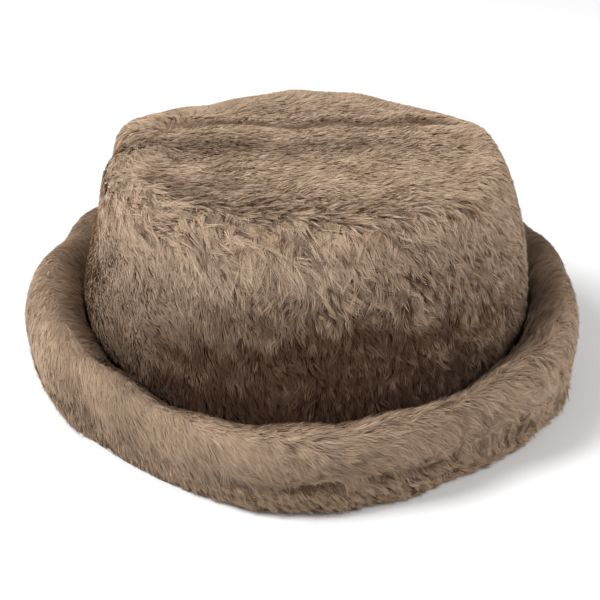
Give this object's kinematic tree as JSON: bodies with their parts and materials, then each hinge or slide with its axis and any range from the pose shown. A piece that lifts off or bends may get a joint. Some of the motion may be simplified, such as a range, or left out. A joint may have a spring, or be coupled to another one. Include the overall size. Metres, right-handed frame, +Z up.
{
  "type": "faux fur bucket hat",
  "caption": "Bucket hat of deep brown faux fur with a flat tip, a flaring crown wall and a fat turned brim.",
  "frame": {"origin": "centre of the hat's box on the surface that its brim stands on", "axes": "+Z up out of the tip, -Y towards the front, +X to the hat's side that the picture shows on the right"},
  "size_m": [0.2732, 0.2732, 0.1109],
  "materials": {
    "tip_fur": "deep pile, taupe brown",
    "wall_fur": "deep pile, taupe brown",
    "brim_fur": "deep pile, taupe brown",
    "under_fur": "deep pile, taupe brown"
  },
  "bodies": {
    "root": {"tip": "tip_fur", "crown_side": "wall_fur", "brim_top": "brim_fur", "brim_under": "under_fur"}
  },
  "joints": []
}
